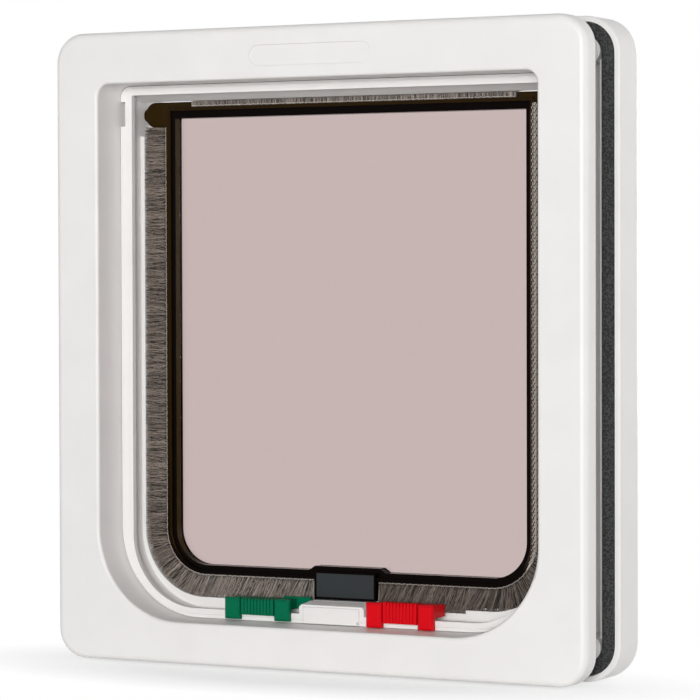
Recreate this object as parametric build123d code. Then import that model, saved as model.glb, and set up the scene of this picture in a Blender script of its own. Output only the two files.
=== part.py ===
from build123d import *

import os

# Cat flap for a door panel, locked each way by its own catch.
# An inner and an outer frame clamp the door between them, drawn together by four long screws.
# The tinted flap hangs in the outer frame from two moulded pins, is edged with brush pile and
# is brought to rest by a pair of magnets. Two coloured catches slide along the sill below it.
# X is to the right seen from indoors, Y runs outdoors through the door and Z is up.
# The origin is the middle of the inner frame on the door's indoor face.

# Door
door_thickness = 17.0

# Inner frame: the bezel stands in front of the door, its sleeve lines the cut-out
front_width = 234.0
front_height = 252.0
front_corner = 12.0
front_depth = 9.0
front_edge = 2.8
front_plate = 2.6
front_skirt = 2.5
front_boss_radius = 4.5
tunnel_width = 194.0
head_rail = 20.7
foot_rail = 16.7
tunnel_top_corner = 5.0
tunnel_bottom_corner = 36.0
tunnel_edge = 1.2
sleeve_wall = 2.2
sleeve_reach = 14.0
plaque_length = 53.4
plaque_height = 8.1
plaque_drop = 11.6
plaque_sunk = 0.35

# Outer frame: larger than the inner one all round, hollow towards the door
rear_side_overlap = 2.5
rear_end_overlap = 0.7
rear_depth = 19.4
rear_corner = 14.5
rear_edge = 3.0
rear_rim_edge = 0.5
rear_plate = 2.5
rear_wall = 2.2
hollow_wall = 2.0
passage_wall = 2.6

# Collar of the outer frame, with an in-turned lip and a flange that fits the sleeve
collar_reach = 9.0
collar_side_gap = 1.3
collar_top_gap = 1.1
collar_sill_gap = 1.7
collar_side_wall = 2.0
collar_top_wall = 1.7
collar_sill_wall = 1.4
collar_top_step = 2.1
collar_bottom_step = 4.5
lip_depth = 2.5
lip_side = 2.5
lip_top = 1.1
lip_sill = 0.9
lip_notch_depth = 1.4
lip_notch_length = 5.0
lip_notch_height = 9.8
flange_setback = 0.6
flange_clearance = 0.2

# Rib in the passage that the brush tips meet, with a slope down to it at the head
rib_side = 1.7
rib_top = 3.2
rib_sill = 4.3
rib_depth = 6.5
rib_setback = 2.0
rib_side_drop = 8.6
rib_low_length = 107.0
rib_low = 2.9
rib_low_setback = 1.0
rib_hump = 5.3

# Foam gasket and the channel it lies in
foam_width = 5.0
foam_depth = 3.6
foam_fit = 0.3
foam_shoulder = 1.3
foam_core_depth = 8.0

# Fixing screws
screw_inset_x = 10.5
screw_inset_z = 12.5
screw_radius = 2.0
screw_head_radius = 3.8
screw_head_height = 2.6
screw_head_edge = 1.2
screw_grip = 5.0
screw_end_gap = 0.6
screw_clearance = 0.2
thread_clearance = 0.05
rear_boss_radius = 4.9
counterbore_radius = 4.2
counterbore_depth = 3.4
drive_length = 3.6
drive_width = 0.9
drive_depth = 1.4

# Flap: rim with a bead round its edge and a thin pane, hung on two pins
flap_setback = 7.2
flap_side_gap = 11.5
flap_top_gap = 5.7
flap_sill_gap = 13.7
flap_top_corner = 1.6
flap_bottom_corner = 18.0
flap_depth = 5.8
bead_width = 1.4
bead_proud = 1.3
light_side = 3.6
light_top = 4.5
light_sill = 3.4
pane_thickness = 2.0
pane_setback = 1.4
least_corner = 0.4
pivot_drop = 8.6
pivot_radius = 2.4
pivot_clearance = 0.05
pivot_end_gap = 0.4
pivot_length = 4.8
pivot_boss_radius = 5.4
pivot_boss_length = 4.5
lug_end_gap = 0.9
lug_height = 10.2
lug_end_radius = 4.7
lug_edge = 0.5
left_lug_strip = 11.2
right_lug_strip = 7.2
lug_sweep = 5.85

# Brush strips along the flap's edge
backing_width = 2.4
backing_depth = 2.1
backing_fit = 0.05
pile_depth = 5.0
pile_side_gap = 0.2
pile_sill_gap = 0.4
pile_top_gap = 0.9
pile_lug_gap = 0.6
pile_pocket_gap = 1.0

# Magnet pocket at the foot of the flap
pocket_width = 27.4
pocket_rise = 3.3
pocket_drop = 7.9
pocket_front = 4.9
pocket_back = 5.0
pocket_wall = 0.75
pocket_floor = 2.0
pocket_corner = 0.4
flare_width = 34.2
flare_slope = 2.5
flare_rise = 1.7
flap_magnet_depth = 5.6
magnet_fit = 0.05
cap_edge = 0.2

# Magnet box and its cover on the sill of the outer frame
box_width = 29.0
box_depth = 8.0
box_height = 4.6
box_top_slope = 0.9
box_end_bevel = 1.0
cover_width = 25.0
cover_height = 6.7
cover_drop = 0.7
cover_thickness = 0.8
cover_edge = 0.3
cover_spigot = 1.0
cover_notch = 0.9
cover_notch_lift = 0.6
cavity_width = 22.0
cavity_height = 3.6
cavity_depth = 6.8
cavity_lift = 1.4

# Sliding catches, the red one a little taller than the green one
green_rest = 17.9
green_rise = 5.4
green_drop = 3.2
red_rest = 16.6
red_rise = 6.1
red_drop = 3.7
catch_length = 29.2
catch_block = 6.7
catch_leg_depth = 2.7
catch_clearance = 0.3
catch_depth = 11.2
catch_edge = 0.9
bridge_setback = 2.4
bridge_drop = 0.4
bridge_lift = 1.0
heel_inset = 8.0
grip_recess = 1.0
green_grip_lift = -0.3
red_grip_lift = 0.3
grip_foot_lift = 1.9
grip_gap = 0.6
grip_ribs = 10
grip_groove = 0.5
tongue_rise = 5.6
tongue_height = 4.7
tongue_depth = 2.2
tongue_gap = 0.6
tongue_clearance = 0.4
tongue_root = 6.0
arm_drop = 2.6
arm_height = 3.0
arm_start = 7.0
arm_width = 8.0
arm_room = 4.5

# Planes along Y that several pieces share
front_face = -front_depth
rear_plane = door_thickness
rear_face = rear_plane + rear_depth
lip_front = rear_plane - collar_reach
lip_back = lip_front + lip_depth
pivot_y = rear_plane + flap_setback
flap_front = pivot_y - flap_depth / 2
flap_back = pivot_y + flap_depth / 2
bead_front = flap_front - bead_proud
bead_back = flap_back + bead_proud
pane_front = pivot_y + pane_setback - pane_thickness / 2
pane_back = pane_front + pane_thickness
rib_front = rear_plane + rib_setback
rib_back = rib_front + rib_depth
pocket_face = pivot_y - pocket_front
pocket_rear = pivot_y + pocket_back
pocket_seat = pocket_rear - pocket_floor
cap_back = pocket_seat - flap_magnet_depth
head_seat = rear_face - counterbore_depth
leg_back = lip_front - catch_clearance
leg_front = leg_back - catch_leg_depth
catch_back = leg_front + catch_depth

# Outline sizes across the door
rear_width = front_width + 2 * rear_side_overlap
rear_height = front_height + 2 * rear_end_overlap
tunnel_top = front_height / 2 - head_rail
tunnel_bottom = foot_rail - front_height / 2
channel_inset = rear_wall + foam_width + 2 * foam_fit
passage_width = tunnel_width - 2 * (collar_side_gap + collar_side_wall)
passage_top = tunnel_top - collar_top_gap - collar_top_wall
passage_sill = tunnel_bottom + collar_sill_gap + collar_sill_wall
passage_top_corner = tunnel_top_corner - collar_top_step
passage_bottom_corner = tunnel_bottom_corner - collar_bottom_step
lip_sill_level = passage_sill + lip_sill
flap_width = passage_width - 2 * flap_side_gap
flap_top = passage_top - flap_top_gap
flap_bottom = passage_sill + flap_sill_gap
pivot_level = passage_top - pivot_drop
lug_tip = passage_width / 2 - lug_end_gap
left_lug_root = left_lug_strip - flap_width / 2
right_lug_root = flap_width / 2 - right_lug_strip
left_lug_start = left_lug_root + pile_lug_gap
right_lug_start = right_lug_root - pile_lug_gap
pocket_top = flap_bottom + pocket_rise
pocket_bottom = flap_bottom - pocket_drop
cavity_level = passage_sill + cavity_lift
box_top = passage_sill + box_height
cover_top = box_top - cover_drop
bridge_under = lip_sill_level + bridge_lift
tongue_top = lip_sill_level + tongue_rise
tongue_tip = pocket_width / 2 + tongue_gap
arm_near = red_rest + arm_start
arm_far = arm_near + arm_width
pile_bottom = tongue_top + pile_sill_gap
pile_top = passage_top - rib_top - pile_top_gap
pile_reach = passage_width / 2 - lip_side - pile_side_gap
pile_start = pivot_level - lug_height / 2 - pile_lug_gap
screw_x = front_width / 2 - screw_inset_x
screw_z = front_height / 2 - screw_inset_z
screw_places = [(x, z) for x in (-screw_x, screw_x) for z in (-screw_z, screw_z)]


def at_depth(y):
    """Plane across the door at depth y, with X to the right and Z up in it."""
    return Plane(origin=(0, y, 0), x_dir=(1, 0, 0), z_dir=(0, -1, 0))


def slab(outline, front, back):
    """Outline drawn in X and Z, made solid from depth front to depth back."""
    return extrude(at_depth(back) * outline, amount=back - front)


def block(x_ends, y_low, y_high, z_low, z_high):
    """Plain box between two ends along X, in either order, and other limits."""
    x_low, x_high = sorted(x_ends)
    middle = ((x_low + x_high) / 2, (y_low + y_high) / 2, (z_low + z_high) / 2)
    return Pos(*middle) * Box(x_high - x_low, y_high - y_low, z_high - z_low)


def rod(radius, y_low, y_high, x, z):
    """Round bar along Y."""
    return Pos(x, (y_low + y_high) / 2, z) * Rot(90, 0, 0) * Cylinder(radius, y_high - y_low)


def axle(radius, x_ends):
    """Round bar along X on the pivot line, between two ends in either order."""
    x_low, x_high = sorted(x_ends)
    middle = Pos((x_low + x_high) / 2, pivot_y, pivot_level)
    return middle * Rot(0, 90, 0) * Cylinder(radius, x_high - x_low)


def patch(width, top, bottom):
    """Upright rectangle centred on X."""
    return Pos(0, (top + bottom) / 2) * Rectangle(width, top - bottom)


def window(width, top, bottom, top_corner, bottom_corner):
    """Outline of a doorway: small top corners and larger bottom corners."""
    outline = patch(width, top, bottom)
    outline = fillet(outline.vertices().group_by(Axis.Y)[-1], top_corner)
    return fillet(outline.vertices().group_by(Axis.Y)[0], bottom_corner)


def bar(corners, width):
    """Section drawn in Y and Z, made solid over a width centred on X."""
    side = Plane(origin=(-width / 2, 0, 0), x_dir=(0, 1, 0), z_dir=(1, 0, 0))
    return extrude(side * make_face(Polyline(*corners, close=True)), amount=width)


def tunnel(grow):
    """Outline of the sleeve's inside, drawn out by grow."""
    return window(
        tunnel_width + 2 * grow,
        tunnel_top + grow,
        tunnel_bottom - grow,
        tunnel_top_corner + grow,
        tunnel_bottom_corner + grow,
    )


def passage(side, top, sill):
    """Outline of the passage behind the lip, drawn in at its sides, top and sill."""
    return window(
        passage_width - 2 * side,
        passage_top - top,
        passage_sill + sill,
        max(passage_top_corner - max(side, top), least_corner),
        passage_bottom_corner - max(side, sill),
    )


def flap_outline(side, top, sill):
    """Outline of the flap, drawn in at its sides, top and bottom."""
    return window(
        flap_width - 2 * side,
        flap_top - top,
        flap_bottom + sill,
        max(flap_top_corner - side, least_corner),
        flap_bottom_corner - side,
    )


def rear_outline(margin):
    """Rounded outline of the outer frame, drawn in by a margin."""
    return RectangleRounded(
        rear_width - 2 * margin, rear_height - 2 * margin, rear_corner - margin
    )


def make_front_frame():
    """Bezel shell with a sleeve, four blind bosses and a bare plaque."""
    frame = slab(RectangleRounded(front_width, front_height, front_corner), front_face, 0)
    frame = fillet(frame.edges().group_by(Axis.Y)[0], front_edge)
    hollow = RectangleRounded(
        front_width - 2 * front_skirt,
        front_height - 2 * front_skirt,
        front_corner - front_skirt,
    )
    frame -= slab(hollow, front_face + front_plate, 0)
    frame += slab(tunnel(sleeve_wall), front_face + front_plate, sleeve_reach)
    frame -= slab(tunnel(0), front_face, sleeve_reach)
    mouth = frame.faces().sort_by(Axis.Y)[0].inner_wires()[0]
    frame = fillet(mouth.edges(), tunnel_edge)
    for x, z in screw_places:
        frame += rod(front_boss_radius, front_face + front_plate, 0, x, z)
        frame -= rod(screw_radius + thread_clearance, -screw_grip - screw_end_gap, 0, x, z)
    plaque = Pos(0, front_height / 2 - plaque_drop) * SlotOverall(plaque_length, plaque_height)
    return frame - slab(plaque, front_face, front_face + plaque_sunk)


def make_rear_frame():
    """Outer frame: hollow shell, foam channel, collar, brush rib and magnet box."""
    frame = slab(rear_outline(0), rear_plane, rear_face)
    frame = fillet(frame.edges().group_by(Axis.Y)[-1], rear_edge)
    frame = chamfer(frame.edges().group_by(Axis.Y)[0], rear_rim_edge)

    # Foam channel, open on its inner side and cored out between the foam's two shoulders
    foam_seat = rear_plane + foam_depth
    land = slab(
        rear_outline(rear_wall) - rear_outline(channel_inset + hollow_wall), rear_plane, foam_seat
    )
    for x, z in screw_places:
        land -= rod(rear_boss_radius, rear_plane, foam_seat, x, z)
    frame -= land
    core_outer = rear_outline(rear_wall + foam_shoulder)
    core_inner = rear_outline(channel_inset - foam_shoulder)
    frame -= slab(core_outer - core_inner, foam_seat, foam_seat + foam_core_depth)

    # Hollow between the channel and the passage wall, less the bosses
    hollow = rear_outline(channel_inset + hollow_wall)
    hollow -= passage(-passage_wall, -passage_wall, -passage_wall)
    hollow_solid = slab(hollow, rear_plane, rear_face - rear_plate)
    for x, z in screw_places:
        hollow_solid -= rod(rear_boss_radius, rear_plane, rear_face, x, z)
    boss_start = passage_width / 2
    boss_end = boss_start + passage_wall + pivot_boss_length
    for side in (-1, 1):
        hollow_solid -= axle(pivot_boss_radius, (side * boss_start, side * boss_end))
    frame -= hollow_solid

    # Collar with a flange that fills the sleeve, lip and passage
    collar = passage(-collar_side_wall, -collar_top_wall, -collar_sill_wall)
    frame += slab(collar, lip_front, rear_plane)
    frame += slab(tunnel(-flange_clearance), lip_front + flange_setback, rear_plane)
    frame -= slab(passage(lip_side, lip_top, lip_sill), lip_front, lip_back)
    frame -= slab(passage(0, 0, 0), lip_back, rear_face)
    frame += brush_rib() + head_slope()

    # Notches beside the lugs, pivot holes and screw holes
    notch_side = boss_start + collar_side_wall - lip_notch_depth
    notch_low = pivot_level - lip_notch_height / 2
    pin_end = lug_tip + pivot_length + pivot_end_gap
    for side in (-1, 1):
        ends = (side * notch_side, side * tunnel_width / 2)
        notch_back = lip_front + lip_notch_length
        frame -= block(ends, lip_front, notch_back, notch_low, notch_low + lip_notch_height)
        frame -= axle(pivot_radius + pivot_clearance, (side * lug_tip, side * pin_end))
    for x, z in screw_places:
        frame -= rod(screw_radius + screw_clearance, rear_plane, rear_face, x, z)
        frame -= rod(counterbore_radius, head_seat, rear_face, x, z)
    return frame + magnet_box() - cavity_bar(0, lip_front, lip_front + cavity_depth)


def brush_rib():
    """Rib round the passage, left out beside the lugs, low by the catches, high by the pocket."""
    rib = slab(passage(0, 0, 0) - passage(rib_side, rib_top, rib_sill), rib_front, rib_back)
    rib_side_end = pivot_level - rib_side_drop
    lug_space = patch(passage_width, passage_top - rib_top, rib_side_end)
    rib -= slab(lug_space, rib_front, rib_back)
    rib -= axle(lug_sweep, (-passage_width / 2, left_lug_start))
    rib -= axle(lug_sweep, (right_lug_start, passage_width / 2))
    sill_gap = patch(rib_low_length, passage_sill + rib_sill, passage_sill)
    rib -= slab(sill_gap, rib_front, rib_back)
    low = patch(rib_low_length, passage_sill + rib_low, passage_sill)
    low += patch(box_width, passage_sill + rib_hump, passage_sill)
    rib += slab(low, rib_front + rib_low_setback, rib_back)
    arm_gap = (arm_near - arm_room, arm_far + arm_room)
    return rib - block(arm_gap, rib_front, rib_back, passage_sill, passage_sill + rib_low)


def head_slope():
    """Slope at the head of the passage, from behind the lip down to the rib."""
    foot = (rib_front, passage_top - rib_top)
    return bar([(lip_back, passage_top), (rib_front, passage_top), foot], passage_width)


def magnet_box():
    """Box on the sill behind the lip, with a sloping top and bevelled ends."""
    box_back = lip_front + box_depth
    foot = passage_sill - collar_sill_wall / 2
    corners = [
        (lip_front, foot),
        (lip_front, box_top),
        (box_back, box_top + box_top_slope),
        (box_back, foot),
    ]
    box = bar(corners, box_width)
    lid = box.faces().sort_by(Axis.Z)[-1]
    return chamfer(lid.edges().filter_by(Axis.X, reverse=True), box_end_bevel)


def cavity_bar(fit, front, back):
    """Bar in the shape of the cavity in the magnet box, drawn in by a fit."""
    low = cavity_level - cavity_height / 2 + fit
    outline = patch(cavity_width - 2 * fit, low + cavity_height - 2 * fit, low)
    return slab(outline, front, back)


def make_magnet_cover():
    """Cover plate with a spigot in the cavity and a small prise notch."""
    cover_bottom = cover_top - cover_height
    plate = patch(cover_width, cover_top, cover_bottom)
    cover = slab(plate, lip_front - cover_thickness, lip_front)
    cover = chamfer(cover.edges().group_by(Axis.Y)[0], cover_edge)
    notch_ends = (cover_width / 2 - cover_notch, cover_width / 2)
    notch_low = cover_bottom + cover_notch_lift
    notch_high = notch_low + cover_notch
    cover -= block(notch_ends, lip_front - cover_thickness, lip_front, notch_low, notch_high)
    return cover + cavity_bar(magnet_fit, lip_front, lip_front + cover_spigot)


def make_frame_magnet():
    """Bar magnet in the cavity behind the cover."""
    return cavity_bar(magnet_fit, lip_front + cover_spigot, lip_front + cavity_depth)


def make_foam_gasket():
    """Closed ring of foam in the channel of the outer frame."""
    outer = rear_wall + foam_fit
    ring = rear_outline(outer) - rear_outline(outer + foam_width)
    return slab(ring, rear_plane, rear_plane + foam_depth)


def make_fixing_screws():
    """Four pan-head screws from outdoors into the bosses of the inner frame."""
    head_top = head_seat + screw_head_height
    cross = Rectangle(drive_length, drive_width) + Rectangle(drive_width, drive_length)
    screws = []
    for x, z in screw_places:
        head = rod(screw_head_radius, head_seat, head_top, x, z)
        head = chamfer(head.edges().group_by(Axis.Y)[-1], screw_head_edge)
        head -= slab(Pos(x, z) * cross, head_top - drive_depth, head_top)
        screws.append(head + rod(screw_radius, -screw_grip, head_seat, x, z))
    return Compound(children=screws)


def make_flap():
    """Tinted flap: rimmed pane, pivot lugs and pins, and the magnet pocket."""
    flap = slab(flap_outline(0, 0, 0), flap_front, flap_back)
    bead = flap_outline(0, 0, 0) - flap_outline(bead_width, bead_width, bead_width)
    flap += slab(bead, bead_front, bead_back)
    light = flap_outline(light_side, light_top, light_sill) - flare_outline()
    flap -= slab(light, flap_front, pane_front)
    flap -= slab(light, pane_back, flap_back)

    # Groove for the brush backing round the edge
    groove = flap_outline(0, 0, 0) - flap_outline(backing_depth, backing_depth, backing_depth)
    flap -= slab(groove, *backing_span(0))

    # Magnet pocket, open at the front
    pocket = slab(patch(pocket_width, pocket_top, pocket_bottom), pocket_face, pocket_rear)
    flap += chamfer(pocket.edges().filter_by(Axis.Y), pocket_corner)
    flap -= slab(pocket_inside(0), pocket_face, pocket_seat)
    return flap + make_lug(-1, left_lug_root) + make_lug(1, right_lug_root)


def flare_outline():
    """Trapezoid of full depth that stiffens the pane above the magnet pocket."""
    half = flare_width / 2
    flare_foot = flap_bottom + light_sill
    flare_top = flare_foot + flare_rise
    corners = [
        (-half, flare_foot),
        (-half + flare_slope, flare_top),
        (half - flare_slope, flare_top),
        (half, flare_foot),
    ]
    return make_face(Polyline(*corners, close=True))


def pocket_inside(fit):
    """Inside of the magnet pocket, drawn in by a fit."""
    margin = pocket_wall + fit
    return patch(pocket_width - 2 * margin, pocket_top - margin, pocket_bottom + margin)


def make_lug(side, root):
    """Pivot lug at a top corner of the flap, rounded at its outer end, with its pin."""
    tip = side * lug_tip
    outline = Pos((tip + root) / 2, pivot_level) * Rectangle(abs(tip - root), lug_height)
    ends = outline.vertices().group_by(Axis.X)
    outline = fillet(ends[-1] if side > 0 else ends[0], lug_end_radius)
    lug = slab(outline, flap_front, flap_back)
    lug = chamfer(lug.edges().filter_by(Axis.Y, reverse=True), lug_edge)
    lug -= slab(flap_outline(light_side, light_top, light_sill), flap_front, flap_back)
    return lug + axle(pivot_radius, (side * flap_width / 2, side * (lug_tip + pivot_length)))


def backing_span(fit):
    """Depths between which the brush backing lies in the flap's edge."""
    half = backing_width / 2 - fit
    return pivot_y - half, pivot_y + half


def brush_strip(pile, region):
    """Pile and its backing along the part of the flap's edge in the region."""
    depth = backing_depth - backing_fit
    backing = flap_outline(0, 0, 0) - flap_outline(depth, depth, depth)
    tuft = (pile - flap_outline(0, 0, 0)) & region
    strip = slab(tuft, pivot_y - pile_depth / 2, pivot_y + pile_depth / 2)
    return strip + slab(backing & region, *backing_span(backing_fit))


def make_brush_side(side):
    """Brush down one side of the flap, round the corner and up to the pocket."""
    pile = window(
        2 * pile_reach,
        flap_top,
        pile_bottom,
        flap_top_corner,
        flap_bottom_corner + flap_bottom - pile_bottom,
    )
    near = pocket_width / 2 + pile_pocket_gap
    middle = side * (near + pile_reach) / 2
    region = Pos(middle, 0) * patch(pile_reach - near, pile_start, pile_bottom)
    return brush_strip(pile, region)


def make_brush_top():
    """Brush along the top edge of the flap, between the lugs."""
    length = right_lug_start - left_lug_start
    middle = (right_lug_start + left_lug_start) / 2
    region = Pos(middle, 0) * patch(length, pile_top, flap_top - backing_depth)
    return brush_strip(region, region)


def make_flap_magnet():
    """Block magnet in the pocket of the flap."""
    return slab(pocket_inside(magnet_fit), cap_back, pocket_seat)


def make_flap_magnet_cap():
    """Cap that closes the pocket, flush with its rim."""
    cap = slab(pocket_inside(magnet_fit), pocket_face, cap_back)
    return chamfer(cap.edges().group_by(Axis.Y)[0], cap_edge)


def make_catch(side, rest, rise, drop, grip_lift):
    """Catch that straddles the lip on one side of the magnet box.

    It has two blocks in front of the lip, a ribbed grip between them, a bridge
    over the lip and a heel behind it.
    """

    def span(start, length):
        near = rest + start
        return side * near, side * (near + length)

    leg_top = lip_sill_level + rise
    leg_bottom = lip_sill_level - drop
    bridge_top = leg_top - bridge_drop
    bridge_span = span(bridge_setback, catch_length - bridge_setback)
    catch = block(bridge_span, leg_back, catch_back, bridge_under, bridge_top)
    for start in (0, catch_length - catch_block):
        leg = block(span(start, catch_block), leg_front, leg_back, leg_bottom, leg_top)
        catch += chamfer(leg.edges().group_by(Axis.Y)[0], catch_edge)

    # Grip with upright ribs
    grip_front = leg_front + grip_recess
    grip_top = leg_top + grip_lift
    grip_bottom = leg_bottom + grip_foot_lift
    grip_start = catch_block + grip_gap
    grip_length = catch_length - 2 * grip_start
    catch += block(span(grip_start, grip_length), grip_front, leg_back, grip_bottom, grip_top)
    pitch = grip_length / grip_ribs
    groove_back = grip_front + grip_groove
    for number in range(1, grip_ribs):
        groove = span(grip_start + number * pitch - grip_groove / 2, grip_groove)
        catch -= block(groove, grip_front, groove_back, grip_bottom, grip_top)
        catch -= block(groove, grip_front, catch_back, bridge_top - grip_groove, grip_top)

    # Heel behind the lip, which keeps the catch on its rail
    heel = span(heel_inset, catch_length - 2 * heel_inset)
    heel_foot = passage_sill + catch_clearance
    return catch + block(heel, lip_back + catch_clearance, catch_back, heel_foot, bridge_under)


def make_green_catch():
    """Left catch, with a tongue that slides in front of the flap's pocket."""
    tongue_back = pocket_face - tongue_clearance
    tongue_front = tongue_back - tongue_depth
    tongue_foot = tongue_top - tongue_height
    root = green_rest + bridge_setback
    root_end = root + tongue_root
    tongue = block((-tongue_tip, -root_end), tongue_front, tongue_back, tongue_foot, tongue_top)
    heel_front = lip_back + catch_clearance
    heel_top = lip_sill_level + green_rise - bridge_drop
    heel = block((-root, -root_end), heel_front, tongue_back, tongue_foot, heel_top)
    catch = make_catch(-1, green_rest, green_rise, green_drop, green_grip_lift)
    return catch + tongue + heel


def make_red_catch():
    """Right catch, with an arm under the flap and a tongue behind its pocket."""
    tongue_front = pocket_rear + tongue_clearance
    tongue_back = tongue_front + tongue_depth
    arm_top = tongue_top - arm_drop
    arm_foot = arm_top - arm_height
    arm = block((arm_near, arm_far), lip_back + catch_clearance, tongue_back, arm_foot, arm_top)
    tongue = block((tongue_tip, arm_far), tongue_front, tongue_back, arm_foot, tongue_top)
    return make_catch(1, red_rest, red_rise, red_drop, red_grip_lift) + arm + tongue


parts = {
    "front_frame": make_front_frame(),
    "rear_frame": make_rear_frame(),
    "foam_gasket": make_foam_gasket(),
    "fixing_screws": make_fixing_screws(),
    "frame_magnet": make_frame_magnet(),
    "magnet_cover": make_magnet_cover(),
    "flap": make_flap(),
    "flap_magnet": make_flap_magnet(),
    "flap_magnet_cap": make_flap_magnet_cap(),
    "brush_top": make_brush_top(),
    "brush_left": make_brush_side(-1),
    "brush_right": make_brush_side(1),
    "green_catch": make_green_catch(),
    "red_catch": make_red_catch(),
}

os.makedirs("parts", exist_ok=True)
for name, solid in parts.items():
    export_step(solid, f"parts/{name}.step")
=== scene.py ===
import math

import bmesh
import bpy
import numpy as np
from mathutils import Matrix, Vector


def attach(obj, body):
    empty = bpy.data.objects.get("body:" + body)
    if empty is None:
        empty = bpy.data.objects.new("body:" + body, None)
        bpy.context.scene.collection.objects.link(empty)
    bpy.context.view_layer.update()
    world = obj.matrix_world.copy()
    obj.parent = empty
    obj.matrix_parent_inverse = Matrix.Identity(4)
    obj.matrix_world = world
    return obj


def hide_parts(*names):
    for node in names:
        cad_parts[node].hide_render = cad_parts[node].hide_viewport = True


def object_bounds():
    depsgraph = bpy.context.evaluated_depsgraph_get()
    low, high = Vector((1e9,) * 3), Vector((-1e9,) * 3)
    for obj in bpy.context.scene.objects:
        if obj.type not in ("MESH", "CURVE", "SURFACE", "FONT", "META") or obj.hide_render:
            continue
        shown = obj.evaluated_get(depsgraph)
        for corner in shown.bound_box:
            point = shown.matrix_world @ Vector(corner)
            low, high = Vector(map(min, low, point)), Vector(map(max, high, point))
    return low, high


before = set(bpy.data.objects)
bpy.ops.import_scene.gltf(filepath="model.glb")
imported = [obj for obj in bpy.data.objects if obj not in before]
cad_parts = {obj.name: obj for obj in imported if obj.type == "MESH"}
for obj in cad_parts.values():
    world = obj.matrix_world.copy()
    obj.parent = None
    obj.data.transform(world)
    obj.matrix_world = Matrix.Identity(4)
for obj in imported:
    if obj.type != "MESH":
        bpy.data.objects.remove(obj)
cad_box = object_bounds()

MM = 0.001
DEPTH = np.array([0.0, 1.0, 0.0])

# Flap edge that the brush strips follow, and its pane, as in the solids
FLAP_HALF = 82.2 * MM
FLAP_TOP = 96.8 * MM
FLAP_FOOT = -92.5 * MM
FLAP_CORNER = 18.0 * MM
FLAP_MIDDLE_Y = 24.2 * MM
BEAD_FRONT = 20.0 * MM
PANE_MIDDLE_Y = 25.6 * MM
PANE_HALF = 1.05 * MM
PANE_SIDE = 79.5 * MM
PANE_TOP = 93.0 * MM
PANE_FOOT = -90.0 * MM

# Where the tones of the flap's rim begin and how far they fade, the painted reflection on the right
# bead among them
SOFT = 0.05 * MM
BEAD_NEAR = 0.2 * MM
BEAD_FAR = 0.4 * MM
REFLECTION_FADE = 2.0 * MM
OLIVE_FADE = 55.0 * MM
LUG_CLEAR = 3.5 * MM
WALL_FACING = (0.7, 0.3)

# Brush pile: its tips meet the rib in the passage, and hang lower where the rib is low
PILE_START = {-1: 88.9 * MM, 1: 94.6 * MM}
PILE_END = 14.7 * MM
PILE_SIDE = 9.8 * MM
PILE_RIB = 9.3 * MM
PILE_FOOT = 10.8 * MM
PILE_ARM = 9.5 * MM
RIB_END = 53.5 * MM
ARM_END = 45.0 * MM
PILE_TOP = 2.45 * MM
PILE_TOP_LEFT = -70.4 * MM
PILE_TOP_RIGHT = 74.4 * MM
PILE_HALF = 3.7 * MM
PILE_SUNK = 0.3 * MM
PILE_SPLAY = 0.155
FOOT_LEAN = 0.45
LEAN_FADE = 4.0 * MM
TIP_SPREAD = 2.0 * MM

# Single hairs, the tufts they stand in, their tones, and the painted shade on short hair and toward
# the roots
SEED = 7
BRISTLES_PER_MM = 58
BRISTLE = 0.11 * MM
BRISTLE_TIP = 0.8
BRISTLE_KNEE = 0.22
HAIR_SIDES = 3
HAIR_SLANT = 0.13
HAIR_DRIFTS = ((0.08, 400), (0.03, 90))
HAIR_REACH = 0.975
HAIR_REACH_SPREAD = 0.022
HAIR_REACH_LEAST = 0.88
TUFT_PITCH = 1.6 * MM
TUFT_WANDER = 0.4
TUFT_WINDOW = 60
TUFT_DRAW = 0.65
TUFT_DRAW_SPREAD = 0.12
TUFT_DRAW_ENDS = (0.3, 0.9)
SHADE_MIDDLE = 0.5
SHADE_SPREAD = 0.2
TUFT_SHADE_SPREAD = 0.03
PAINTED_ROOT_SHADE = (0.35, 0.95, 1.0)
SHORT_PAINTED_SHADE = 0.1

# Dense heart of each strip, its stitched thread and the woven rows on the right strip
COARSE_PER_MM = 8
HEART_SHARE = 0.91
HEART_HALF = 2.9 * MM
HEART_SUNK = 0.5 * MM
YARN_SIDES = 6
THREAD = 0.13 * MM
THREAD_SWING = 0.08 * MM
THREAD_LIFT = 0.22 * MM
THREAD_TWIST = 1.27 * MM
THREAD_OUT = 0.45 * MM
THREAD_DEPTH = 3.75 * MM
WEAVE = 0.13 * MM
WEAVE_ROWS = (-0.4 * MM, 0.15 * MM, 0.7 * MM, 1.25 * MM)
WEAVE_SWING = 0.24 * MM
WEAVE_DEPTH = 4.25 * MM
WEAVE_END = 0.8

# Surface detail: scales in cycles for each metre, depths, and the part of a noise's range in use
CLOUD_SCALE = 45
GRAIN_SCALE = 2600
GRAIN_DEPTH = 0.05 * MM
CELL_SCALE = 1300
CELL_DEPTH = 0.2 * MM
METAL_SCALE = 1500
METAL_EDGE = 0.1 * MM
YARN_SCALE = 3000
NOISE_ENDS = (0.3, 0.7)
BEVEL_SAMPLES = 4

# Camera, as found from the photograph's perspective
CAMERA_AT = (609.8 * MM, -1120.9 * MM, 31.1 * MM)
CAMERA_YAW = 28.03
CAMERA_PITCH = 1.427
CAMERA_ROLL = 0.164
CAMERA_LENS = 168.09
CAMERA_FAR = 100
SENSOR = 36.0

# Floor, the half sizes of its patch that shows the shadow, and the light of the surround
FLOOR_HALF = 30
FLOOR_COLOUR = (0.93, 0.93, 0.93, 1)
SHADOW_WIDE = 170 * MM
SHADOW_DEEP = 75 * MM
SHADOW_CORE = 0.5
SHADOW_VEIL = 0.6
FILL = 0.26

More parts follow.
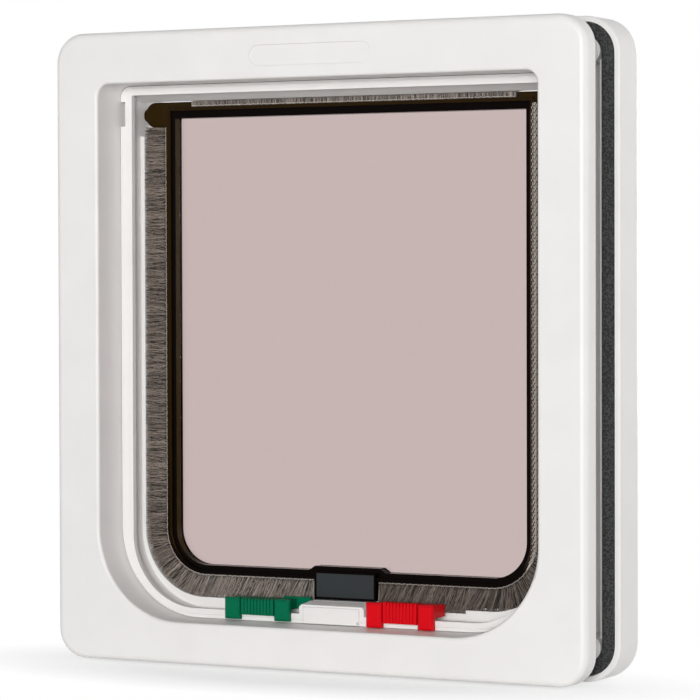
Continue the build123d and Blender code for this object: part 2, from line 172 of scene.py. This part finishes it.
# Colours, linear
WHITE = (0.80, 0.785, 0.77)
FOAM = (0.019, 0.020, 0.020)
STEEL = (0.62, 0.62, 0.63)
MAGNET = (0.05, 0.05, 0.052)
TINT = (0.545, 0.44, 0.425)
RIM_DARK = (0.0025, 0.0012, 0.0008)
RIM_OLIVE = (0.043, 0.023, 0.005)
BEAD_OLIVE = 0.4
# Painted reflection on the right side of the bead
BEAD_PAINTED_REFLECTION = (0.06, 0.040, 0.030)
LUG_OLIVE = 0.55
CAP = (0.023, 0.027, 0.029)
PILE_DARK = (0.040, 0.031, 0.025)
PILE_LIGHT = (0.36, 0.295, 0.25)
# Near black heart of the pile: painted shade
PILE_HEART_PAINTED_SHADE = (0.012, 0.009, 0.008)
THREAD_COLOUR = (0.62, 0.56, 0.50)
GREEN = (0.001, 0.14, 0.066)
RED = (0.67, 0.004, 0.010)


def set_inputs(node, values):
    """Plain values for some of a node's sockets."""
    for name, value in values.items():
        node.inputs[name].default_value = value


def new_material(name):
    """New node material, with its node tree and its main shader."""
    material = bpy.data.materials.new(name)
    material.use_nodes = True
    tree = material.node_tree
    return material, tree, tree.nodes["Principled BSDF"]


def object_noise(tree, scale, detail):
    """Noise fixed to the piece."""
    place = tree.nodes.new("ShaderNodeTexCoord")
    noise = tree.nodes.new("ShaderNodeTexNoise")
    set_inputs(noise, {"Scale": scale, "Detail": detail})
    tree.links.new(place.outputs["Object"], noise.inputs["Vector"])
    return noise.outputs["Fac"]


def remapped(tree, value, start, end, low=0.0, high=1.0):
    """Value that goes from low to high as another goes from start to end."""
    spread = tree.nodes.new("ShaderNodeMapRange")
    set_inputs(spread, {"From Min": start, "From Max": end, "To Min": low, "To Max": high})
    tree.links.new(value, spread.inputs["Value"])
    return spread.outputs["Result"]


def joined(tree, operation, first, second=None):
    """Result of one arithmetic step on a value and, where given, a second value or number."""
    step = tree.nodes.new("ShaderNodeMath")
    step.operation = operation
    tree.links.new(first, step.inputs[0])
    if isinstance(second, float):
        step.inputs[1].default_value = second
    elif second is not None:
        tree.links.new(second, step.inputs[1])
    return step.outputs["Value"]


def reduced(tree, operation, values):
    """Result of the same arithmetic step over several values."""
    result = values[0]
    for value in values[1:]:
        result = joined(tree, operation, result, value)
    return result


def separated(tree, vector):
    """Three coordinates of a vector."""
    parts = tree.nodes.new("ShaderNodeSeparateXYZ")
    tree.links.new(vector, parts.inputs["Vector"])
    return parts.outputs


def two_tone(tree, value, first, second, ends=NOISE_ENDS):
    """Colour between two tones, chosen by a value."""
    ramp = tree.nodes.new("ShaderNodeValToRGB")
    for stop, position, tone in zip(ramp.color_ramp.elements, ends, (first, second)):
        stop.position = position
        stop.color = (*tone, 1)
    tree.links.new(value, ramp.inputs["Fac"])
    return ramp.outputs["Color"]


def mixed(tree, factor, first, second):
    """Colour between two, each a plain colour or a socket."""
    mix = tree.nodes.new("ShaderNodeMix")
    mix.data_type = "RGBA"
    tree.links.new(factor, mix.inputs["Factor"])
    for name, colour in (("A", first), ("B", second)):
        if isinstance(colour, tuple):
            mix.inputs[name].default_value = (*colour, 1)
        else:
            tree.links.new(colour, mix.inputs[name])
    return mix.outputs["Result"]


def mottle(tree, shader, value, colour, low, high):
    """Base colour that a value makes darker or lighter, between two shares of it."""
    darker = tuple(channel * low for channel in colour)
    lighter = tuple(channel * high for channel in colour)
    tree.links.new(two_tone(tree, value, darker, lighter), shader.inputs["Base Color"])


def vary_gloss(tree, shader, value, rough, spread):
    """Roughness that a value moves either way by a spread."""
    result = remapped(tree, value, *NOISE_ENDS, rough - spread, rough + spread)
    tree.links.new(result, shader.inputs["Roughness"])


def add_bump(tree, shader, height, strength, depth, edge=0.0):
    """Fine relief, over edges that are softened by a small radius where one is given."""
    bump = tree.nodes.new("ShaderNodeBump")
    set_inputs(bump, {"Strength": strength, "Distance": depth})
    tree.links.new(height, bump.inputs["Height"])
    if edge:
        bevel = tree.nodes.new("ShaderNodeBevel")
        bevel.samples = BEVEL_SAMPLES
        set_inputs(bevel, {"Radius": edge})
        tree.links.new(bevel.outputs["Normal"], bump.inputs["Normal"])
    tree.links.new(bump.outputs["Normal"], shader.inputs["Normal"])


def moulded_plastic(name, colour, rough, grain, edge, gloss):
    """Moulded plastic: faint uneven tone, fine grain and softened edges."""
    material, tree, shader = new_material(name)
    mottle(tree, shader, object_noise(tree, CLOUD_SCALE, detail=3), colour, low=0.98, high=1.02)
    fine = object_noise(tree, GRAIN_SCALE, detail=2)
    vary_gloss(tree, shader, fine, rough, spread=0.05)
    set_inputs(shader, {"IOR": 1.5, "Specular IOR Level": gloss})
    add_bump(tree, shader, fine, grain, GRAIN_DEPTH, edge)
    return material


def foam_material():
    """Closed-cell foam: dark, matt and pitted."""
    material, tree, shader = new_material("foam")
    place = tree.nodes.new("ShaderNodeTexCoord")
    cells = tree.nodes.new("ShaderNodeTexVoronoi")
    set_inputs(cells, {"Scale": CELL_SCALE})
    tree.links.new(place.outputs["Object"], cells.inputs["Vector"])
    mottle(tree, shader, cells.outputs["Distance"], FOAM, low=0.35, high=2.3)
    set_inputs(shader, {"Roughness": 0.85})
    add_bump(tree, shader, cells.outputs["Distance"], strength=0.5, depth=CELL_DEPTH)
    return material


def metal_material(name, colour, rough, metallic):
    """Plated or bare metal with an uneven gloss."""
    material, tree, shader = new_material(name)
    fine = object_noise(tree, METAL_SCALE, detail=4)
    mottle(tree, shader, fine, colour, low=0.85, high=1.1)
    vary_gloss(tree, shader, fine, rough, spread=0.1)
    set_inputs(shader, {"Metallic": metallic})
    add_bump(tree, shader, fine, strength=0.15, depth=GRAIN_DEPTH, edge=METAL_EDGE)
    return material


def rim_mask(tree, at):
    """1 on the flap's rim, which is whatever lies before, behind or outside the thin pane."""
    across = joined(tree, "ABSOLUTE", at["X"])
    depth = joined(tree, "ABSOLUTE", joined(tree, "SUBTRACT", at["Y"], PANE_MIDDLE_Y))
    return reduced(tree, "MAXIMUM", [
        remapped(tree, depth, PANE_HALF, PANE_HALF + SOFT),
        remapped(tree, across, PANE_SIDE, PANE_SIDE + SOFT),
        remapped(tree, at["Z"], PANE_TOP, PANE_TOP + SOFT),
        remapped(tree, at["Z"], PANE_FOOT, PANE_FOOT - SOFT),
    ])


def rim_colour(tree, at, facing):
    """Near black rim, whose walls, bead and lugs let a little olive light through, painted into the
    colour, and a painted reflection that makes the bead paler down the right side.
    """
    across = joined(tree, "ABSOLUTE", at["X"])
    bead = reduced(tree, "MULTIPLY", [
        remapped(tree, at["Y"], BEAD_FRONT + BEAD_FAR, BEAD_FRONT + BEAD_NEAR),
        remapped(tree, at["Y"], BEAD_FRONT - BEAD_FAR, BEAD_FRONT - BEAD_NEAR),
    ])
    wall = remapped(tree, joined(tree, "ABSOLUTE", facing["Y"]), *WALL_FACING)
    above_foot = remapped(tree, at["Z"], PANE_FOOT, PANE_FOOT + FLAP_CORNER / 2)
    far_up = remapped(tree, at["Z"], PANE_FOOT, PANE_FOOT + OLIVE_FADE, high=BEAD_OLIVE)
    olive = reduced(tree, "MAXIMUM", [
        joined(tree, "MULTIPLY", wall, above_foot),
        joined(tree, "MULTIPLY", bead, far_up),
        remapped(tree, across, FLAP_HALF + SOFT, FLAP_HALF + 2 * SOFT, high=LUG_OLIVE),
        remapped(tree, at["Z"], FLAP_TOP + SOFT, FLAP_TOP + 2 * SOFT, high=LUG_OLIVE),
    ])
    tone = two_tone(tree, olive, RIM_DARK, RIM_OLIVE, ends=(0, 1))

    # Painted reflection: the bead is paler down the right side, between the lug and the bend, where
    # it mirrors the white lip beside it
    pale = reduced(tree, "MULTIPLY", [
        bead,
        remapped(tree, at["X"], PANE_SIDE - REFLECTION_FADE, PANE_SIDE),
        remapped(tree, at["Z"], FLAP_FOOT + FLAP_CORNER / 4, FLAP_FOOT + FLAP_CORNER),
        remapped(tree, at["Z"], FLAP_TOP - LUG_CLEAR, FLAP_TOP - 2 * LUG_CLEAR),
    ])
    return mixed(tree, pale, tone, BEAD_PAINTED_REFLECTION)


def tinted_material():
    """Smoked clear plastic: a pale pane in a thick dark rim."""
    material, tree, shader = new_material("tinted_plastic")
    place = tree.nodes.new("ShaderNodeTexCoord")
    at = separated(tree, place.outputs["Object"])
    facing = separated(tree, place.outputs["Normal"])
    rim = rim_mask(tree, at)
    tone = mixed(tree, rim, TINT, rim_colour(tree, at, facing))
    tree.links.new(tone, shader.inputs["Base Color"])
    clear = remapped(tree, rim, 0, 1, low=1.0, high=0.0)
    tree.links.new(clear, shader.inputs["Transmission Weight"])
    set_inputs(shader, {"Roughness": 0.08, "IOR": 1.49, "Specular IOR Level": 0.03})
    return material


def pile_material():
    """Brush hair: each bristle its own tone, with painted shade that darkens it toward the root."""
    material, tree, shader = new_material("brush_pile")
    shade = tree.nodes.new("ShaderNodeAttribute")
    shade.attribute_name = "shade"
    tone = two_tone(tree, shade.outputs["Fac"], PILE_DARK, PILE_LIGHT)
    tree.links.new(tone, shader.inputs["Base Color"])
    set_inputs(shader, {"Roughness": 0.55, "Sheen Weight": 0.1})
    return material


def woven_material(name, colour):
    """Yarn: matt, with a fine uneven tone."""
    material, tree, shader = new_material(name)
    mottle(tree, shader, object_noise(tree, YARN_SCALE, detail=3), colour, low=0.7, high=1.2)
    set_inputs(shader, {"Roughness": 0.9})
    return material


def mesh_object(name, points, faces, material):
    """New mesh piece from an array of points and a list of faces."""
    mesh = bpy.data.meshes.new(name)
    mesh.from_pydata(points.tolist(), [], faces)
    mesh.materials.append(material)
    piece = bpy.data.objects.new(name, mesh)
    bpy.context.collection.objects.link(piece)
    return piece


def side_path(side, steps_per_mm):
    """Points, outward directions, pile lengths and leans down a side and along the foot."""
    start = PILE_START[side]
    straight = start - (FLAP_FOOT + FLAP_CORNER)
    bend = FLAP_CORNER * math.pi / 2
    foot = FLAP_HALF - FLAP_CORNER - PILE_END
    total = straight + bend + foot
    along = np.linspace(0, total, int(total / MM * steps_per_mm))
    turn = np.clip((along - straight) / FLAP_CORNER, 0, math.pi / 2)
    down = np.minimum(along, straight)
    run = np.maximum(along - straight - bend, 0)
    x = FLAP_HALF - FLAP_CORNER + FLAP_CORNER * np.cos(turn) - run
    z = start - down - FLAP_CORNER * np.sin(turn)
    points = np.stack([side * x, np.full_like(x, FLAP_MIDDLE_Y), z], axis=1)
    out = np.stack([side * np.cos(turn), np.zeros_like(x), -np.sin(turn)], axis=1)
    turned = turn / (math.pi / 2)
    lean = side * FOOT_LEAN * turned ** 2 * np.clip((x - PILE_END) / LEAN_FADE, 0, 1)
    length = PILE_SIDE + (PILE_RIB - PILE_SIDE) * turned
    tip = x - lean * PILE_FOOT + TIP_SPREAD
    length = np.where(tip < RIB_END, PILE_FOOT, length)
    if side > 0:
        length = np.where(x < ARM_END, PILE_ARM, length)
    return points, out, length, lean


def top_path(steps_per_mm):
    """Points, outward directions, pile lengths and leans along the top edge."""
    width = PILE_TOP_RIGHT - PILE_TOP_LEFT
    x = np.linspace(PILE_TOP_LEFT, PILE_TOP_RIGHT, int(width / MM * steps_per_mm))
    points = np.stack([x, np.full_like(x, FLAP_MIDDLE_Y), np.full_like(x, FLAP_TOP)], axis=1)
    out = np.tile([0.0, 0.0, 1.0], (len(x), 1))
    return points, out, np.full_like(x, PILE_TOP), np.zeros_like(x)


def travelled(points):
    """Distance along a path at each of its points."""
    step = np.linalg.norm(np.diff(points, axis=0), axis=1)
    return np.concatenate([[0], np.cumsum(step)])


def directions(points):
    """Direction of a path at each of its points."""
    tangent = np.gradient(points, axis=0)
    return tangent / np.linalg.norm(tangent, axis=1, keepdims=True)


def wander(count, random, width):
    """Smooth random curve of count values, at most 1 either way."""
    rough = random.normal(size=count + 2 * width)
    window = np.hanning(2 * width + 1)
    curve = np.convolve(rough, window / window.sum(), mode="same")[width:-width]
    return curve / (np.abs(curve).max() + 1e-9)


def hair_lines(path, random):
    """Roots, knees and tips of the hairs, the tuft of each and how short it is."""
    points, out, length, lean = path
    count = len(points)
    along = travelled(points)
    tangent = directions(points)
    short = np.minimum(length / PILE_SIDE, 1)

    tuft = (along / TUFT_PITCH + TUFT_WANDER * wander(count, random, TUFT_WINDOW)).astype(int)
    tuft = np.maximum(tuft, 0)
    draw = random.normal(TUFT_DRAW, TUFT_DRAW_SPREAD, tuft.max() + 1)
    draw = np.clip(draw, *TUFT_DRAW_ENDS)[tuft] * short
    place = random.uniform(-1, 1, count)
    drift = sum(size * wander(count, random, window) for size, window in HAIR_DRIFTS)
    slant = lean + drift + random.normal(0, HAIR_SLANT, count)
    slant = np.clip(slant, -along / length, (along[-1] - along) / length)
    reach = random.normal(HAIR_REACH, HAIR_REACH_SPREAD, count)
    reach = length * np.clip(reach, HAIR_REACH_LEAST, 1.0)

    centre = (tuft + 0.5) * TUFT_PITCH
    base = points + place[:, None] * PILE_HALF * DEPTH - out * PILE_SUNK
    root = base + tangent * ((centre - along) * draw)[:, None]
    tip = points + out * reach[:, None] + tangent * (slant * length)[:, None]
    tip[:, 1] += place * (PILE_HALF + PILE_SPLAY * length)
    knee = base + (tip - base) * BRISTLE_KNEE
    return (root, knee, tip), tuft, short


def hair_faces():
    """Triangles of one hair: its lower and upper walls and its blunt tip."""
    wall = []
    for corner in range(HAIR_SIDES):
        after = (corner + 1) % HAIR_SIDES
        wall.append([corner, after, after + HAIR_SIDES])
        wall.append([corner, after + HAIR_SIDES, corner + HAIR_SIDES])
    lower = np.array(wall)
    tip = np.arange(2 * HAIR_SIDES, 3 * HAIR_SIDES)
    return np.concatenate([lower, lower + HAIR_SIDES, [tip]])


def bristles(name, path, material, random):
    """Blunt three-sided hairs in tufts, splayed at the tip. Short hair is less tufted, and darker by
    painted shade.
    """
    points, out = path[:2]
    count = len(points)
    tangent = directions(points)
    lines, tuft, short = hair_lines(path, random)
    rings = []
    for middle, share in zip(lines, (1.0, 1.0, BRISTLE_TIP)):
        for corner in range(HAIR_SIDES):
            angle = corner * 2 * math.pi / HAIR_SIDES
            ring = tangent * math.cos(angle) + DEPTH * math.sin(angle)
            rings.append(middle + ring * (BRISTLE * share))
    vertices = np.stack(rings, axis=1).reshape(-1, 3)
    faces = (np.arange(count)[:, None, None] * len(rings) + hair_faces()).reshape(-1, 3)
    if np.dot(np.cross(tangent[0], DEPTH), out[0]) < 0:
        faces = faces[:, ::-1]
    piece = mesh_object(name, vertices, faces.tolist(), material)

    # Each hair's own tone, a little alike within a tuft, times painted shade that darkens short hair
    # and the root of every hair
    streak = random.normal(0, TUFT_SHADE_SPREAD, tuft.max() + 1)[tuft]
    own = np.clip(random.normal(SHADE_MIDDLE, SHADE_SPREAD, count) + streak, 0, 1)
    # Painted shade: short hair, as on the top strip, made darker
    own *= short ** SHORT_PAINTED_SHADE
    # Painted shade: each hair darker toward its root
    rise = np.repeat(PAINTED_ROOT_SHADE, HAIR_SIDES)
    shade = piece.data.attributes.new("shade", "FLOAT", "POINT")
    shade.data.foreach_set("value", (own[:, None] * rise).ravel().astype(np.float32))
    return piece


def swept(name, rings, material):
    """Smooth strip through rings of corners, closed at both ends."""
    steps, corners = rings.shape[:2]
    index = np.arange(steps * corners).reshape(steps, corners)
    across = np.roll(index, -1, axis=1)
    quads = np.stack([index[:-1], across[:-1], across[1:], index[1:]], axis=-1).reshape(-1, 4)
    ends = [index[0][::-1].tolist(), index[-1].tolist()]
    piece = mesh_object(name, rings.reshape(-1, 3), quads.tolist() + ends, material)
    form = bmesh.new()
    form.from_mesh(piece.data)
    bmesh.ops.recalc_face_normals(form, faces=form.faces)
    form.to_mesh(piece.data)
    form.free()
    piece.data.shade_smooth()
    return piece


def heart(name, path, material):
    """Dense heart of the strip, which the outer hairs hide, coloured near black as painted shade deep
    in the pile.
    """
    points, out, length, _ = path
    far = points + out * (length * HEART_SHARE)[:, None]
    near = points - out * HEART_SUNK
    back = DEPTH * HEART_HALF
    rings = np.stack([near - back, far - back, far + back, near + back], axis=1)
    return swept(name, rings, material)


def zigzag(points, out, swing, offset, rise, phase):
    """Centre line of a yarn that zigzags along an edge and dips into the pile between stitches."""
    turn = travelled(points)[:, None] / THREAD_TWIST * math.pi + phase
    across = out * (offset + np.sin(turn) * swing)
    height = abs(rise) - np.cos(2 * turn) * THREAD_LIFT
    return points + across + DEPTH * math.copysign(1, rise) * height


def yarn(name, centre, out, half, material):
    """Round yarn about a centre line."""
    angles = np.arange(YARN_SIDES) * 2 * math.pi / YARN_SIDES
    rings = [centre + (out * math.cos(angle) + DEPTH * math.sin(angle)) * half for angle in angles]
    return swept(name, np.stack(rings, axis=1), material)


def thread(name, path, material, rise):
    """Stitching along the root of the pile, on the face that the rise names."""
    points, out = path[:2]
    centre = zigzag(points, out, THREAD_SWING, THREAD_OUT, rise, 0)
    return yarn(name, centre, out, THREAD, material)


def weave(name, path, material):
    """Rows of yarn over the straight edge, half a stitch apart, which meet the thread at the bend."""
    points, out = path[:2]
    run = out[:, 0] > WEAVE_END
    points, out = points[run], out[run]
    spread = (out[:, :1] - WEAVE_END) / (1 - WEAVE_END)
    rows = []
    for row, offset in enumerate(WEAVE_ROWS):
        place = THREAD_OUT + (offset - THREAD_OUT) * spread
        centre = zigzag(points, out, WEAVE_SWING * spread, place, -WEAVE_DEPTH, row * math.pi / 2)
        rows.append(yarn(f"{name}_{row}", centre, out, WEAVE, material))
    return rows


def make_brush(node, fine, coarse, looks, random):
    """Hair, heart and stitching that stand for one brush strip."""
    pile, core, stitches = looks
    hair = bristles(f"{node}_hair", fine, pile, random)
    pieces = [hair, heart(f"{node}_heart", coarse, core)]
    pieces.append(thread(f"{node}_front_thread", coarse, stitches, -THREAD_DEPTH))
    pieces.append(thread(f"{node}_back_thread", coarse, stitches, THREAD_DEPTH))
    if node == "brush_right":
        pieces += weave(f"{node}_weave", coarse, stitches)
    for piece in pieces:
        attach(piece, "flap")
    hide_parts(node)


def make_brushes():
    """All three brush strips of the flap."""
    random = np.random.default_rng(SEED)
    core = woven_material("pile_heart_shade", PILE_HEART_PAINTED_SHADE)
    looks = (pile_material(), core, woven_material("stitching", THREAD_COLOUR))
    for node, side in (("brush_left", -1), ("brush_right", 1)):
        fine = side_path(side, BRISTLES_PER_MM)
        make_brush(node, fine, side_path(side, COARSE_PER_MM), looks, random)
    make_brush("brush_top", top_path(BRISTLES_PER_MM), top_path(COARSE_PER_MM), looks, random)


def dress(node, material):
    """Gives a node of the frame its finished material."""
    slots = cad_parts[node].data.materials
    slots.clear()
    slots.append(material)


def dress_nodes():
    """Materials of the rigid pieces."""
    white = moulded_plastic("white_plastic", WHITE, rough=0.42, grain=0.12, edge=0.35 * MM, gloss=0.5)
    for node in ("front_frame", "rear_frame", "magnet_cover"):
        dress(node, white)
    dress("foam_gasket", foam_material())
    dress("fixing_screws", metal_material("steel", STEEL, rough=0.35, metallic=1.0))
    ferrite = metal_material("magnet", MAGNET, rough=0.6, metallic=0.2)
    dress("frame_magnet", ferrite)
    dress("flap_magnet", ferrite)
    dress("flap", tinted_material())
    grey = moulded_plastic("grey_plastic", CAP, rough=0.4, grain=0.1, edge=0.2 * MM, gloss=0.2)
    dress("flap_magnet_cap", grey)
    catch_finish = {"rough": 0.35, "grain": 0.06, "edge": 0.3 * MM, "gloss": 0.06}
    dress("green_catch", moulded_plastic("green_plastic", GREEN, **catch_finish))
    dress("red_catch", moulded_plastic("red_plastic", RED, **catch_finish))


def add_lamp(name, place, size, power):
    """Large soft lamp aimed at the origin."""
    light = bpy.data.lights.new(name, "AREA")
    light.shape = "DISK"
    light.size = size
    light.energy = power
    lamp = bpy.data.objects.new(name, light)
    bpy.context.collection.objects.link(lamp)
    lamp.location = place
    x, y, z = place
    lamp.rotation_euler = (math.atan2(math.hypot(x, y), z), 0, math.pi + math.atan2(-x, y))


def seen_directly(tree):
    """1 for what the camera, a reflection or a clear pane shows."""
    path = tree.nodes.new("ShaderNodeLightPath")
    rays = ("Is Camera Ray", "Is Glossy Ray", "Is Transmission Ray")
    return reduced(tree, "MAXIMUM", [path.outputs[ray] for ray in rays])


def make_world():
    """White surround, which lights the object more softly than it shows."""
    world = bpy.data.worlds.new("studio")
    bpy.context.scene.world = world
    world.use_nodes = True
    tree = world.node_tree
    surround = tree.nodes["Background"]
    set_inputs(surround, {"Color": (1, 1, 1, 1)})
    level = remapped(tree, seen_directly(tree), 0, 1, low=FILL)
    tree.links.new(level, surround.inputs["Strength"])


def floor_material():
    """Pale floor that holds the shadow and fades into the white surround."""
    material, tree, shader = new_material("floor")
    set_inputs(shader, {"Base Color": FLOOR_COLOUR, "Roughness": 0.9})
    place = tree.nodes.new("ShaderNodeNewGeometry")
    foot = tree.nodes.new("ShaderNodeMapping")
    set_inputs(foot, {"Scale": (1 / SHADOW_WIDE, 1 / SHADOW_DEEP, 0)})
    tree.links.new(place.outputs["Position"], foot.inputs["Vector"])
    far = tree.nodes.new("ShaderNodeVectorMath")
    far.operation = "LENGTH"
    tree.links.new(foot.outputs["Vector"], far.inputs[0])
    away = remapped(tree, far.outputs["Value"], SHADOW_CORE, 1, low=SHADOW_VEIL)
    glow = tree.nodes.new("ShaderNodeEmission")
    mix = tree.nodes.new("ShaderNodeMixShader")
    tree.links.new(joined(tree, "MULTIPLY", away, seen_directly(tree)), mix.inputs["Fac"])
    tree.links.new(shader.outputs["BSDF"], mix.inputs[1])
    tree.links.new(glow.outputs["Emission"], mix.inputs[2])
    tree.links.new(mix.outputs["Shader"], tree.nodes["Material Output"].inputs["Surface"])
    return material


def make_floor():
    """Floor under the lowest point of the object."""
    low = cad_box[0].z
    corners = [(x * FLOOR_HALF, y * FLOOR_HALF, low) for x, y in ((-1, -1), (1, -1), (1, 1), (-1, 1))]
    floor = mesh_object("floor", np.array(corners), [(0, 1, 2, 3)], floor_material())


def make_camera():
    """Camera where the photograph was taken from."""
    data = bpy.data.cameras.new("camera")
    data.lens = CAMERA_LENS
    data.sensor_width = SENSOR
    data.clip_end = CAMERA_FAR
    camera = bpy.data.objects.new("camera", data)
    bpy.context.collection.objects.link(camera)
    camera.location = CAMERA_AT
    turns = (90 - CAMERA_PITCH, CAMERA_ROLL, CAMERA_YAW)
    camera.rotation_euler = [math.radians(turn) for turn in turns]
    bpy.context.scene.camera = camera


def make_studio():
    """Surround, floor, lamps and camera."""
    make_world()
    make_floor()
    add_lamp("key", place=(1.37, -3.76, 0.2), size=1.6, power=152)
    add_lamp("side", place=(1.3, 0.9, 0.2), size=1.0, power=7)
    add_lamp("back", place=(-0.4, 4.0, 0.4), size=1.6, power=90)
    make_camera()
    bpy.context.scene.view_settings.view_transform = "Standard"


dress_nodes()
make_brushes()
make_studio()
